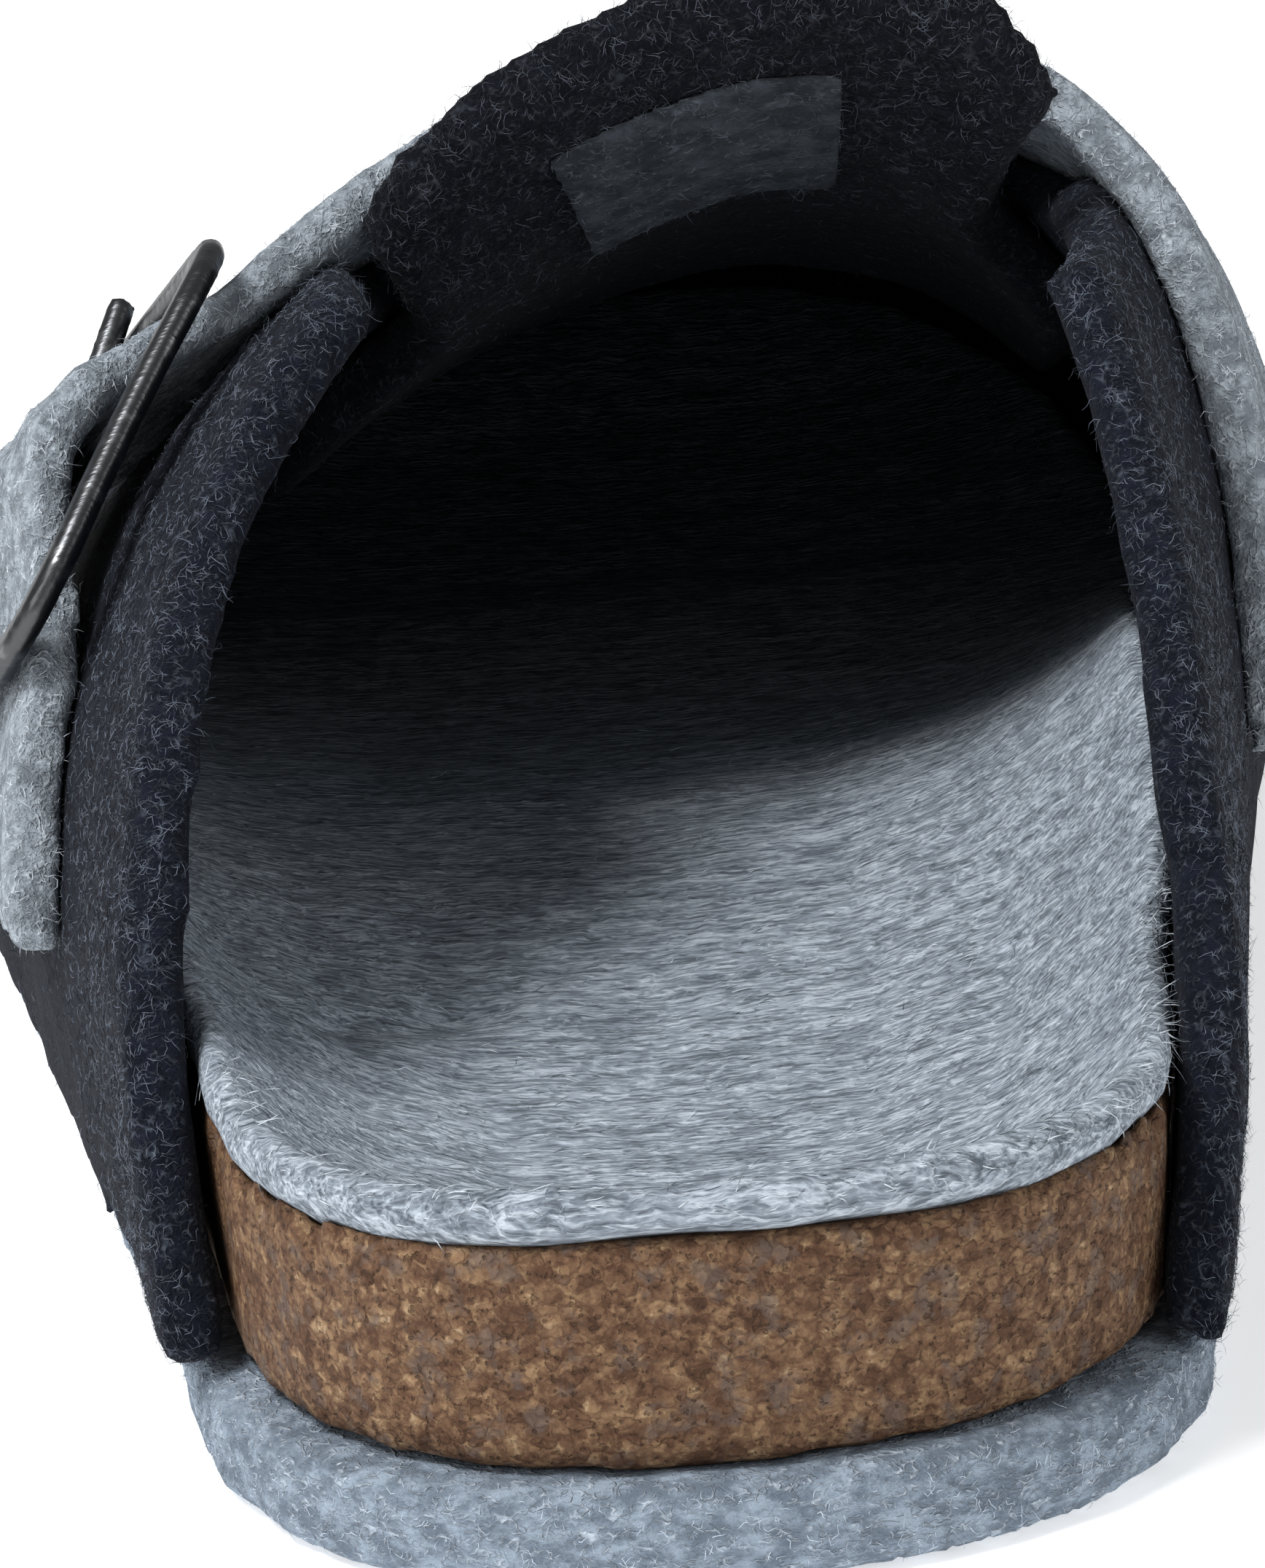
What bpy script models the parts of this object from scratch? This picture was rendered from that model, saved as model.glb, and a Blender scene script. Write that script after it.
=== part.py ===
# Open-backed wool felt slipper for the left foot, on a cork footbed, with an instep strap and buckle.
# Metres, +X towards the inner side of the foot, +Y towards the toe, +Z up.
# The origin is on the floor, under the middle of the slipper's box.
# Every felt piece is cut from one function, foot_point, which gives the inside of the upper.

import math

import bmesh
import bpy
from mathutils import Matrix, Vector

# Driving sizes
SOLE_LENGTH = 0.258          # cork footbed, heel to toe
BALL_WIDTH = 0.0975          # cork footbed across the ball
HEEL_WIDTH = 0.0665          # cork footbed across the heel
HEEL_DEPTH = 0.039           # from the back of the heel to its widest place
INSTEP_HEIGHT = 0.0805       # inside of the upper over the floor, at the back of the throat
RIM_HEIGHT = 0.0205          # lined rim of the footbed over the outsole, at the heel
TOE_SPRING = 0.0070          # rise of the toe's tip
ARCH_LIFT = 0.0012           # rise of the waist between the heel and forefoot flats
OUTSOLE_THICKNESS = 0.0070
OUTSOLE_MARGIN = 0.0031      # outsole past the cork
OUTSOLE_GROOVE = 0.0006      # depth of the groove between the two felt layers
FOOTBED_THICKNESS = 0.0078   # cork and lining at the thinnest place
LINING_THICKNESS = 0.0030
UPPER_WALL = 0.0042
TONGUE_WALL = 0.0045
STRAP_WALL = 0.0038
STRAP_WIDTH = 0.037
PATCH_WALL = 0.0010
TONGUE_LIFT = 0.0090         # rise of the tongue's back edge over the upper's inside, at its outer end
TONGUE_LEAN = 0.35           # how much more it rises at its inner end
BUCKLE_LENGTH = 0.040        # along the strap
BUCKLE_RAIL = 0.0034
BUCKLE_CORNER = 0.0095       # outer radius of the frame's corners
BUCKLE_THICKNESS = 0.0020
BUCKLE_RADIUS = 0.300        # the frame's slight bend over the foot
BUCKLE_SEAT = 0.0002         # the frame's middle over the strap beside it
BUCKLE_PLAY = 0.0015         # room between strap and frame, each side
STRAP_SLACK = 0.0014         # room between the centre bar and the strap over it
BAR_RADIUS = 0.0009
PRONG_WIDTH = 0.0022
CLEARANCE = 0.0003           # between pieces that touch
CHORD_EASE = 0.0003          # room for the straight facets of a curved wall round a curved block

LATERAL, MEDIAL = -1, 1
HEEL_APEX = -0.045           # shares of the heel's width: the heel's back end lies to the outer side
TOE_APEX = 0.150             # share of the ball's width: the toe's end lies to the inner side
HEEL_ROUND = 2.37            # exponents of the rounded ends
TOE_ROUND = {LATERAL: 1.98, MEDIAL: 2.5}
TOE_START = 0.74             # share of the length where the toe's curve begins
CROWN_SHARE = 0.22           # share of a section's half below the wall's widest place
RIDGE_LAG = 0.147            # share of the length by which the ridge stops short of the toe
RIDGE_LAG_START = 0.58

# Plan of the cork's sides between heel and toe curves.
# along: share of the sole's length. outer, inner: shares of the ball's width, from the middle line.
PLAN = [
    {"along": 0.151, "outer": 0.341, "inner": 0.341},
    {"along": 0.230, "outer": 0.365, "inner": 0.372},
    {"along": 0.310, "outer": 0.391, "inner": 0.396},
    {"along": 0.400, "outer": 0.420, "inner": 0.414},
    {"along": 0.500, "outer": 0.452, "inner": 0.436},
    {"along": 0.600, "outer": 0.482, "inner": 0.468},
    {"along": 0.690, "outer": 0.498, "inner": 0.500},
    {"along": 0.740, "outer": 0.490, "inner": 0.505},
]

# Sections of the upper's inside.
# shift: the ridge, share of the ball's width towards the inner side. ridge: share of the instep's height.
# outer_bulge, inner_bulge: the wall past the cork's plan, shares of the ball's width.
# crown: height of the widest place, share of the instep's height.
# outer_round, inner_round: exponents of the section's curves.
SECTIONS = [
    {"along": 0.00, "shift": 0.143, "ridge": 1.00, "outer_bulge": 0.000, "inner_bulge": 0.000,
     "crown": 0.31, "outer_round": 1.90, "inner_round": 2.05},
    {"along": 0.15, "shift": 0.143, "ridge": 1.00, "outer_bulge": 0.004, "inner_bulge": 0.003,
     "crown": 0.31, "outer_round": 1.90, "inner_round": 2.05},
    {"along": 0.23, "shift": 0.143, "ridge": 1.00, "outer_bulge": 0.008, "inner_bulge": 0.004,
     "crown": 0.31, "outer_round": 1.88, "inner_round": 2.00},
    {"along": 0.33, "shift": 0.143, "ridge": 1.01, "outer_bulge": 0.010, "inner_bulge": 0.014,
     "crown": 0.31, "outer_round": 1.72, "inner_round": 2.08},
    {"along": 0.37, "shift": 0.143, "ridge": 1.00, "outer_bulge": 0.010, "inner_bulge": 0.026,
     "crown": 0.31, "outer_round": 1.63, "inner_round": 2.28},
    {"along": 0.43, "shift": 0.143, "ridge": 0.93, "outer_bulge": 0.011, "inner_bulge": 0.044,
     "crown": 0.30, "outer_round": 1.50, "inner_round": 2.34},
    {"along": 0.50, "shift": 0.140, "ridge": 0.84, "outer_bulge": 0.013, "inner_bulge": 0.048,
     "crown": 0.27, "outer_round": 1.45, "inner_round": 2.34},
    {"along": 0.58, "shift": 0.132, "ridge": 0.745, "outer_bulge": 0.015, "inner_bulge": 0.040,
     "crown": 0.24, "outer_round": 1.46, "inner_round": 2.26},
    {"along": 0.66, "shift": 0.124, "ridge": 0.665, "outer_bulge": 0.017, "inner_bulge": 0.028,
     "crown": 0.22, "outer_round": 1.54, "inner_round": 2.16},
    {"along": 0.76, "shift": 0.115, "ridge": 0.575, "outer_bulge": 0.017, "inner_bulge": 0.020,
     "crown": 0.21, "outer_round": 1.68, "inner_round": 2.10},
    {"along": 0.88, "shift": 0.108, "ridge": 0.505, "outer_bulge": 0.016, "inner_bulge": 0.016,
     "crown": 0.22, "outer_round": 1.85, "inner_round": 2.02},
    {"along": 1.00, "shift": 0.102, "ridge": 0.470, "outer_bulge": 0.014, "inner_bulge": 0.014,
     "crown": 0.25, "outer_round": 1.95, "inner_round": 1.95},
]

# Lined top of the footbed.
# hollow: height at its middle over the thinnest place. outer_rim, inner_rim: its edges.
# All are shares of the rim's height at the heel.
FOOTBED = [
    {"along": 0.00, "hollow": 0.62, "outer_rim": 0.62, "inner_rim": 0.62},
    {"along": 0.035, "hollow": 0.30, "outer_rim": 0.62, "inner_rim": 0.62},
    {"along": 0.09, "hollow": 0.06, "outer_rim": 0.62, "inner_rim": 0.60},
    {"along": 0.16, "hollow": 0.00, "outer_rim": 0.65, "inner_rim": 0.62},
    {"along": 0.27, "hollow": 0.06, "outer_rim": 0.64, "inner_rim": 0.80},
    {"along": 0.37, "hollow": 0.17, "outer_rim": 0.58, "inner_rim": 0.90},
    {"along": 0.50, "hollow": 0.16, "outer_rim": 0.46, "inner_rim": 0.66},
    {"along": 0.62, "hollow": 0.12, "outer_rim": 0.34, "inner_rim": 0.38},
    {"along": 0.70, "hollow": 0.14, "outer_rim": 0.28, "inner_rim": 0.28},
    {"along": 0.78, "hollow": 0.06, "outer_rim": 0.24, "inner_rim": 0.24},
    {"along": 0.90, "hollow": 0.05, "outer_rim": 0.26, "inner_rim": 0.26},
    {"along": 1.00, "hollow": 0.26, "outer_rim": 0.26, "inner_rim": 0.26},
]
RIM_SHARPNESS = 3.2          # how late the footbed turns up towards its rim
CORK_FLARE = 0.0008          # cork's lean outwards from outsole to rim

# Back edge of the quarters: where it leaves the sole, how far forward it leans, and how it curves.
QUARTER_EDGE = {
    LATERAL: {"foot": 0.101, "reach": 0.290, "curve": 1.70},
    MEDIAL: {"foot": 0.066, "reach": 0.322, "curve": 1.50},
}

# Throat, tongue and patch, in shares along the sole and around a section.
# Around runs from the outer sole line (0) over the ridge (0.5) to the inner one (1).
THROAT = {"outer": 0.339, "inner": 0.662, "back": 0.25, "round": 0.43, "front": 0.505}
PATCH = {"middle": 0.470, "half": 0.066, "back": 0.379, "front": 0.424}
TONGUE = {"back": 0.366, "free": 0.445, "front": 0.60, "tuck": 0.055,
          "outer_gap": 0.006, "inner_gap": 0.026, "corner": 0.012}

# The strap from its inner end to its outer end. back: the strap's back edge, share of the sole's length.
STRAP_PATH = [
    {"around": 0.880, "back": 0.330},
    {"around": 0.790, "back": 0.358},
    {"around": 0.700, "back": 0.384},
    {"around": 0.660, "back": 0.398},
    {"around": 0.600, "back": 0.414},
    {"around": 0.500, "back": 0.422},
    {"around": 0.420, "back": 0.410},
    {"around": 0.339, "back": 0.392},
    {"around": 0.270, "back": 0.350},
    {"around": 0.200, "back": 0.305},
    {"around": 0.110, "back": 0.258},
]
STRAP_ENDS = {"inner": 0.875, "outer": 0.182}
TAB_ENDS = {"low": 0.118, "high": 0.1805}
BUCKLE_CENTRE = 0.224        # share of the section where the frame's middle lies


def read_table(rows, along, name, key="along"):
    """Smooth value of a table's column: cubic between rows, flat at both ends."""
    spots = [row[key] for row in rows]
    values = [row[name] for row in rows]
    if spots[0] > spots[-1]:
        spots.reverse()
        values.reverse()
    along = min(max(along, spots[0]), spots[-1])
    slopes = [0.0] * len(rows)
    for i in range(1, len(rows) - 1):
        before = (values[i] - values[i - 1]) / (spots[i] - spots[i - 1])
        after = (values[i + 1] - values[i]) / (spots[i + 1] - spots[i])
        slopes[i] = 0.0 if before * after <= 0 else 2 * before * after / (before + after)
    i = 0
    while i < len(rows) - 2 and along > spots[i + 1]:
        i += 1
    span = spots[i + 1] - spots[i]
    u = (along - spots[i]) / span
    return (
        values[i] * (1 + 2 * u) * (1 - u) ** 2
        + slopes[i] * span * u * (1 - u) ** 2
        + values[i + 1] * u * u * (3 - 2 * u)
        + slopes[i + 1] * span * u * u * (u - 1)
    )


def plan_point(along, side):
    """The cork's outline at the floor plan: a rounded heel, a smooth side and a rounded toe."""
    heel_share = HEEL_DEPTH / SOLE_LENGTH
    if along < heel_share:
        turn = math.pi / 2 * along / heel_share
        apex = HEEL_APEX * HEEL_WIDTH
        half = side * HEEL_WIDTH / 2
        x = apex + (half - apex) * math.sin(turn) ** (2 / HEEL_ROUND)
        y = HEEL_DEPTH * (1 - abs(math.cos(turn)) ** (2 / HEEL_ROUND))
        return Vector((x, y))
    column = "outer" if side == LATERAL else "inner"
    if along < TOE_START:
        return Vector((side * BALL_WIDTH * read_table(PLAN, along, column), along * SOLE_LENGTH))
    turn = math.pi / 2 * (along - TOE_START) / (1 - TOE_START)
    power = 2 / TOE_ROUND[side]
    apex = TOE_APEX * BALL_WIDTH
    half = side * BALL_WIDTH * PLAN[-1][column]
    x = apex + (half - apex) * max(math.cos(turn), 0.0) ** power
    y = SOLE_LENGTH * (TOE_START + (1 - TOE_START) * math.sin(turn) ** power)
    return Vector((x, y))


def plan_normal(along, side):
    """Outward direction of the outline in plan."""
    if along <= 0.0:
        return Vector((0.0, -1.0))
    if along >= 1.0:
        return Vector((0.0, 1.0))
    step = 0.002
    ahead = plan_point(min(along + step, 1.0), side)
    behind = plan_point(max(along - step, 0.0), side)
    run = ahead - behind
    return Vector((run.y, -run.x)).normalized() * side


def sole_lift(y):
    """Height of the outsole's bottom: flat heel and forefoot, a low arch between, toe spring."""
    share = y / SOLE_LENGTH
    arch_back, arch_front = 0.28, 0.57
    if arch_back < share < arch_front:
        return ARCH_LIFT * math.sin(math.pi * (share - arch_back) / (arch_front - arch_back)) ** 2
    spring_start = 0.735
    if share > spring_start:
        return TOE_SPRING * ((share - spring_start) / (1 - spring_start)) ** 2
    return 0.0


def edge_point(along, side, past, height):
    """A point past the cork's outline, at a height over the sole's bottom."""
    spot = plan_point(along, side) + plan_normal(along, side) * past
    return Vector((spot.x, spot.y, sole_lift(spot.y) + height))


def foot_point(along, around):
    """Inside of the upper. around runs 0 to 1 from the outer sole line over the ridge to the inner one."""
    side = LATERAL if around <= 0.5 else MEDIAL
    name = "outer" if side == LATERAL else "inner"
    rise = 2 * around if side == LATERAL else 2 * (1 - around)
    ease = CLEARANCE + CHORD_EASE
    foot = edge_point(along, side, CORK_FLARE + ease, OUTSOLE_THICKNESS + ease)
    bulge = BALL_WIDTH * read_table(SECTIONS, along, name + "_bulge")
    outward = plan_normal(along, side)
    lift = sole_lift(foot.y)
    crown = INSTEP_HEIGHT * read_table(SECTIONS, along, "crown") + lift
    if rise < CROWN_SHARE:
        part = rise / CROWN_SHARE
        swell = bulge * (1 - math.cos(math.pi * part)) / 2
        return Vector((foot.x + outward.x * swell, foot.y + outward.y * swell,
                       foot.z + (crown - foot.z) * part))
    late = max(along - RIDGE_LAG_START, 0.0) / (1 - RIDGE_LAG_START)
    ridge = Vector((
        BALL_WIDTH * read_table(SECTIONS, along, "shift"),
        SOLE_LENGTH * (along - RIDGE_LAG * late ** 2),
        INSTEP_HEIGHT * read_table(SECTIONS, along, "ridge"),
    ))
    turn = math.pi / 2 * (rise - CROWN_SHARE) / (1 - CROWN_SHARE)
    power = 2 / read_table(SECTIONS, along, name + "_round")
    inward = 1 - max(math.cos(turn), 0.0) ** power
    upward = math.sin(turn) ** power
    wide = Vector((foot.x + outward.x * bulge, foot.y + outward.y * bulge))
    return Vector((
        wide.x + (ridge.x - wide.x) * inward,
        wide.y + (ridge.y - wide.y) * inward,
        crown + (ridge.z - crown) * upward,
    ))


def felt_point(along, around, height):
    """A point over the upper's inside, along its outward normal."""
    step = 0.004
    a, b = max(along - step, 0.0), min(along + step, 1.0)
    c, d = max(around - step, 0.0), min(around + step, 1.0)
    run = foot_point(b, around) - foot_point(a, around)
    over = foot_point(along, d) - foot_point(along, c)
    return foot_point(along, around) + over.cross(run).normalized() * height


def quarter_start(around):
    """Where along the sole the quarter's back edge lies, for one line around the section."""
    side = LATERAL if around <= 0.5 else MEDIAL
    edge = QUARTER_EDGE[side]
    low, high = 0.0, 0.8
    for _ in range(30):
        middle = (low + high) / 2
        point = foot_point(middle, around)
        foot = OUTSOLE_THICKNESS
        rise = max((point.z - foot) / (INSTEP_HEIGHT - foot), 0.0)
        if point.y < SOLE_LENGTH * (edge["foot"] + edge["reach"] * rise ** edge["curve"]):
            low = middle
        else:
            high = middle
    return low


def new_object(name, mesh, colour, roughness, metallic=0.0):
    """An object with its own Principled material, in the slipper's collection."""
    material = bpy.data.materials.new(name)
    material.use_nodes = True
    shader = material.node_tree.nodes["Principled BSDF"]
    shader.inputs["Base Color"].default_value = (*colour, 1.0)
    shader.inputs["Roughness"].default_value = roughness
    shader.inputs["Metallic"].default_value = metallic
    mesh.materials.append(material)
    thing = bpy.data.objects.new(name, mesh)
    slipper.objects.link(thing)
    return thing


def finish_mesh(name, shape, smooth=True):
    """Welds, faces out and turns a bmesh into mesh data."""
    bmesh.ops.remove_doubles(shape, verts=shape.verts, dist=0.00001)
    bmesh.ops.recalc_face_normals(shape, faces=shape.faces)
    mesh = bpy.data.meshes.new(name)
    shape.to_mesh(mesh)
    shape.free()
    if smooth:
        mesh.shade_smooth()
        mesh.set_sharp_from_angle(angle=math.radians(40))
    return mesh


def sheet(shape, grid):
    """Faces over a grid of points; returns the grid's vertices."""
    verts = [[shape.verts.new(point) for point in row] for row in grid]
    for lower, upper in zip(verts, verts[1:]):
        for i in range(len(lower) - 1):
            shape.faces.new((lower[i], lower[i + 1], upper[i + 1], upper[i]))
    return verts


def slab(name, inner, outer):
    """Closed solid between two grids of the same size."""
    shape = bmesh.new()
    a = sheet(shape, inner)
    b = sheet(shape, outer)

    def ring(grid):
        return grid[0] + [row[-1] for row in grid[1:]] + grid[-1][-2::-1] + [row[0] for row in grid[-2:0:-1]]

    first, second = ring(a), ring(b)
    for i in range(len(first)):
        j = (i + 1) % len(first)
        shape.faces.new((first[i], first[j], second[j], second[i]))
    return finish_mesh(name, shape)


def stations(count):
    """Shares 0 to 1, closer together at the rounded ends."""
    return [0.5 - 0.5 * math.cos(math.pi * i / count) for i in range(count + 1)]


def block(rings, top, bottom, count=36):
    """Sole-shaped solid from outline rings, bottom first, with grids across that close its top and bottom."""
    shape = bmesh.new()
    spots = stations(count)
    outline = [(spot, LATERAL) for spot in spots] + [(spot, MEDIAL) for spot in spots[-2:0:-1]]
    loops = []
    for ring_point in rings:
        loops.append([shape.verts.new(ring_point(spot, side)) for spot, side in outline])
    for lower, upper in zip(loops, loops[1:]):
        for i in range(len(lower)):
            j = (i + 1) % len(lower)
            shape.faces.new((lower[i], lower[j], upper[j], upper[i]))
    for cover in (bottom, top):
        sheet(shape, [[cover(spot, across) for across in cover.steps] for spot in spots])
    return shape


def make_outsole():
    """Two felt layers: rounded lower edge, a groove round the side, flat top."""
    groove_height = OUTSOLE_THICKNESS * 0.5
    groove_half = OUTSOLE_THICKNESS * 0.05
    profile = [
        (OUTSOLE_MARGIN - 0.0012, 0.0),
        (OUTSOLE_MARGIN - 0.0003, 0.0005),
        (OUTSOLE_MARGIN, 0.0014),
        (OUTSOLE_MARGIN, groove_height - groove_half),
        (OUTSOLE_MARGIN - OUTSOLE_GROOVE, groove_height),
        (OUTSOLE_MARGIN, groove_height + groove_half),
        (OUTSOLE_MARGIN, OUTSOLE_THICKNESS - 0.0006),
        (OUTSOLE_MARGIN - 0.0006, OUTSOLE_THICKNESS),
    ]
    rings = [
        lambda spot, side, past=past, height=height: edge_point(spot, side, past, height)
        for past, height in profile
    ]

    def across(ring):
        def cover(spot, share):
            return ring(spot, LATERAL).lerp(ring(spot, MEDIAL), share)
        cover.steps = (0.0, 1.0)
        return cover

    shape = block(rings, across(rings[-1]), across(rings[0]))
    return new_object("outsole", finish_mesh("outsole", shape), (0.42, 0.46, 0.52), 0.95)


def footbed_height(along, across):
    """Lined top of the footbed over the sole's bottom. across runs -1 to 1 from outer to inner side."""
    hollow = read_table(FOOTBED, along, "hollow")
    rim = read_table(FOOTBED, along, "outer_rim" if across < 0 else "inner_rim")
    share = hollow + (rim - hollow) * abs(across) ** RIM_SHARPNESS
    return OUTSOLE_THICKNESS + FOOTBED_THICKNESS + RIM_HEIGHT * share


def footbed_cover(inset, drop):
    """Grid over the footbed: its edge lies inset from the cork's rim, its height drop under the lining."""
    def cover(spot, across):
        outer = edge_point(spot, LATERAL, CORK_FLARE - inset, 0.0)
        inner = edge_point(spot, MEDIAL, CORK_FLARE - inset, 0.0)
        point = outer.lerp(inner, (across + 1) / 2)
        point.z = sole_lift(point.y) + footbed_height(point.y / SOLE_LENGTH, across) - drop
        return point
    cover.steps = (-1.0, -0.93, -0.82, -0.66, -0.40, 0.0, 0.40, 0.66, 0.82, 0.93, 1.0)
    return cover


def cork_drop():
    return LINING_THICKNESS + CLEARANCE


def make_cork():
    """Cork block: straight sides that lean out a little, and the footbed's top."""
    top = footbed_cover(0.0, cork_drop())

    def foot(spot, side):
        return edge_point(spot, side, 0.0, OUTSOLE_THICKNESS + CLEARANCE)

    def rim(spot, side):
        return top(spot, float(side))

    def bottom(spot, share):
        return foot(spot, LATERAL).lerp(foot(spot, MEDIAL), share)
    bottom.steps = (0.0, 1.0)
    shape = block([foot, rim], top, bottom)
    return new_object("cork_footbed", finish_mesh("cork_footbed", shape), (0.33, 0.18, 0.08), 0.85)


def make_lining():
    """Felt cover of the footbed, with a rolled edge on the cork's rim."""
    under = footbed_cover(0.0, LINING_THICKNESS)
    over = footbed_cover(LINING_THICKNESS * 0.35, 0.0)

    def low(spot, side):
        return under(spot, float(side))

    def shoulder(spot, side):
        point = under(spot, float(side))
        point.z += LINING_THICKNESS * 0.7
        return point

    def crest(spot, side):
        return over(spot, float(side))
    shape = block([low, shoulder, crest], over, under)
    return new_object("footbed_lining", finish_mesh("footbed_lining", shape), (0.40, 0.44, 0.49), 0.98)


def make_upper():
    """One felt wall over the last, open at the back and underneath, with a rounded throat cut out."""
    shape = bmesh.new()
    around_steps = 40
    along_steps = 22
    grid = []
    for i in range(along_steps + 1):
        row = []
        for j in range(around_steps + 1):
            around = j / around_steps
            start = quarter_start(around)
            share = math.sin(math.pi / 2 * i / along_steps)
            row.append(foot_point(start + (1 - start) * share, around))
        grid.append(row)
    sheet(shape, grid)
    mesh = finish_mesh("upper", shape)
    upper = new_object("upper", mesh, (0.035, 0.038, 0.052), 0.97)
    wall = upper.modifiers.new("felt", "SOLIDIFY")
    wall.thickness = UPPER_WALL
    wall.offset = 1.0
    wall.use_even_offset = True
    cut = upper.modifiers.new("throat", "BOOLEAN")
    cut.operation = "DIFFERENCE"
    cut.object = throat_cutter()
    return upper


def throat_outline(steps=8):
    """The throat's edge as (along, around) pairs: outer side, rounded front, inner side."""
    outer, inner = THROAT["outer"], THROAT["inner"]
    middle, half = (outer + inner) / 2, (inner - outer) / 2
    points = [(THROAT["back"], outer)]
    for i in range(steps * 2 + 1):
        turn = math.pi * i / (steps * 2)
        reach = math.sin(turn) ** 0.8
        points.append((THROAT["round"] + (THROAT["front"] - THROAT["round"]) * reach,
                       middle - half * math.cos(turn)))
    points.append((THROAT["back"], inner))
    return points


def throat_cutter():
    """Plug with the throat's outline, square to the felt."""
    below, above = 0.010, 0.030
    shape = bmesh.new()
    outline = throat_outline()
    low = [shape.verts.new(felt_point(a, b, -below)) for a, b in outline]
    high = [shape.verts.new(felt_point(a, b, above)) for a, b in outline]
    count = len(outline)
    for i in range(count):
        j = (i + 1) % count
        shape.faces.new((low[i], low[j], high[j], high[i]))
    for ring in (low, high):
        for i in range(count // 2 - 1):
            shape.faces.new((ring[i], ring[i + 1], ring[count - 2 - i], ring[count - 1 - i]))
        shape.faces.new((ring[count // 2 - 1], ring[count // 2], ring[count // 2 + 1]))
    cutter = bpy.data.objects.new("throat_cutter", finish_mesh("throat_cutter", shape, smooth=False))
    cutter.display_type = "WIRE"
    cutter.hide_render = True
    cutters.objects.link(cutter)
    return cutter


def tongue_height(along, around):
    """Outer face of the tongue over the upper's inside: tucked in front, standing up at the back."""
    rest = -(CLEARANCE + CHORD_EASE)
    if along > TONGUE["free"]:
        return rest
    share = (TONGUE["free"] - along) / (TONGUE["free"] - TONGUE["back"])
    lean = 1 + TONGUE_LEAN * (around - THROAT["outer"]) / (THROAT["inner"] - THROAT["outer"])
    return rest + TONGUE_LIFT * lean * share ** 2.6


def tongue_grid(depth, steps=14, across_steps=14):
    """Points of the tongue at a depth under its outer face."""
    grid = []
    outer_gap, inner_gap = TONGUE["outer_gap"], TONGUE["inner_gap"]
    for i in range(steps + 1):
        along = TONGUE["back"] + (TONGUE["front"] - TONGUE["back"]) * i / steps
        spread = min(max((along - TONGUE["free"]) / 0.03, 0.0), 1.0)
        low = THROAT["outer"] + outer_gap - (TONGUE["tuck"] + outer_gap) * spread
        high = THROAT["inner"] - inner_gap + (TONGUE["tuck"] + inner_gap) * spread
        row = []
        for j in range(across_steps + 1):
            across = j / across_steps
            corner = TONGUE["corner"] * (2 * abs(across - 0.5)) ** 6 * (1 - i / steps) ** 4
            spot = along + corner
            around = low + (high - low) * across
            row.append(felt_point(spot, around, tongue_height(spot, around) - depth))
        grid.append(row)
    return grid


def make_tongue():
    mesh = slab("tongue", tongue_grid(TONGUE_WALL), tongue_grid(0.0))
    return new_object("tongue", mesh, (0.030, 0.033, 0.046), 0.97)


def make_patch():
    """Small plain patch under the tongue's back edge."""
    def face(depth):
        grid = []
        for i in range(5):
            along = PATCH["back"] + (PATCH["front"] - PATCH["back"]) * i / 4
            row = []
            for j in range(7):
                around = PATCH["middle"] + PATCH["half"] * (j / 3 - 1)
                row.append(felt_point(along, around, tongue_height(along, around) - depth))
            grid.append(row)
        return grid
    start = TONGUE_WALL + CLEARANCE
    mesh = slab("tongue_patch", face(start + PATCH_WALL), face(start))
    return new_object("tongue_patch", mesh, (0.09, 0.10, 0.11), 0.95)


def strap_middle(around, height):
    """A point over the middle of the strap."""
    back = read_table(STRAP_PATH, around, "back", "around")
    return felt_point(back + STRAP_WIDTH / SOLE_LENGTH / 2, around, height)


def find_buckle_axes():
    """Middle of the frame over the strap, and its directions down the strap, across it and outwards."""
    height = UPPER_WALL + STRAP_WALL + CLEARANCE + BUCKLE_SEAT
    step = 0.06
    back = read_table(STRAP_PATH, BUCKLE_CENTRE, "back", "around")
    centre = strap_middle(BUCKLE_CENTRE, height)
    above = strap_middle(BUCKLE_CENTRE + step, height)
    below = strap_middle(BUCKLE_CENTRE - step, height)
    down = (below - above).normalized()
    front = felt_point(back + STRAP_WIDTH / SOLE_LENGTH, BUCKLE_CENTRE, height)
    rear = felt_point(back, BUCKLE_CENTRE, height)
    outward = down.cross(front - rear).normalized()
    if outward.x > 0:
        outward.negate()
    across = outward.cross(down).normalized()
    return centre, down, across, outward


BUCKLE_AXES = find_buckle_axes()


def bulge_height():
    """Outer face of the strap over the frame's middle, where it passes over the centre bar."""
    return BAR_RADIUS + STRAP_SLACK + STRAP_WALL


def strap_rise(point):
    """Extra height of the strap inside the frame, where it passes over the centre bar."""
    centre, down = BUCKLE_AXES[:2]
    share = (point - centre).dot(down) / (BUCKLE_LENGTH / 2 - BUCKLE_RAIL)
    if abs(share) >= 1:
        return 0.0
    return (BUCKLE_SEAT + bulge_height()) * math.cos(share * math.pi / 2) ** 2


def strap_grid(start, end, height, steps, rise=1.0, across_steps=8):
    grid = []
    for i in range(steps + 1):
        around = start + (end - start) * i / steps
        back = read_table(STRAP_PATH, around, "back", "around")
        row = []
        for j in range(across_steps + 1):
            along = back + STRAP_WIDTH / SOLE_LENGTH * j / across_steps
            flat = felt_point(along, around, height)
            row.append(felt_point(along, around, height + rise * strap_rise(flat)))
        grid.append(row)
    return grid


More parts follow.
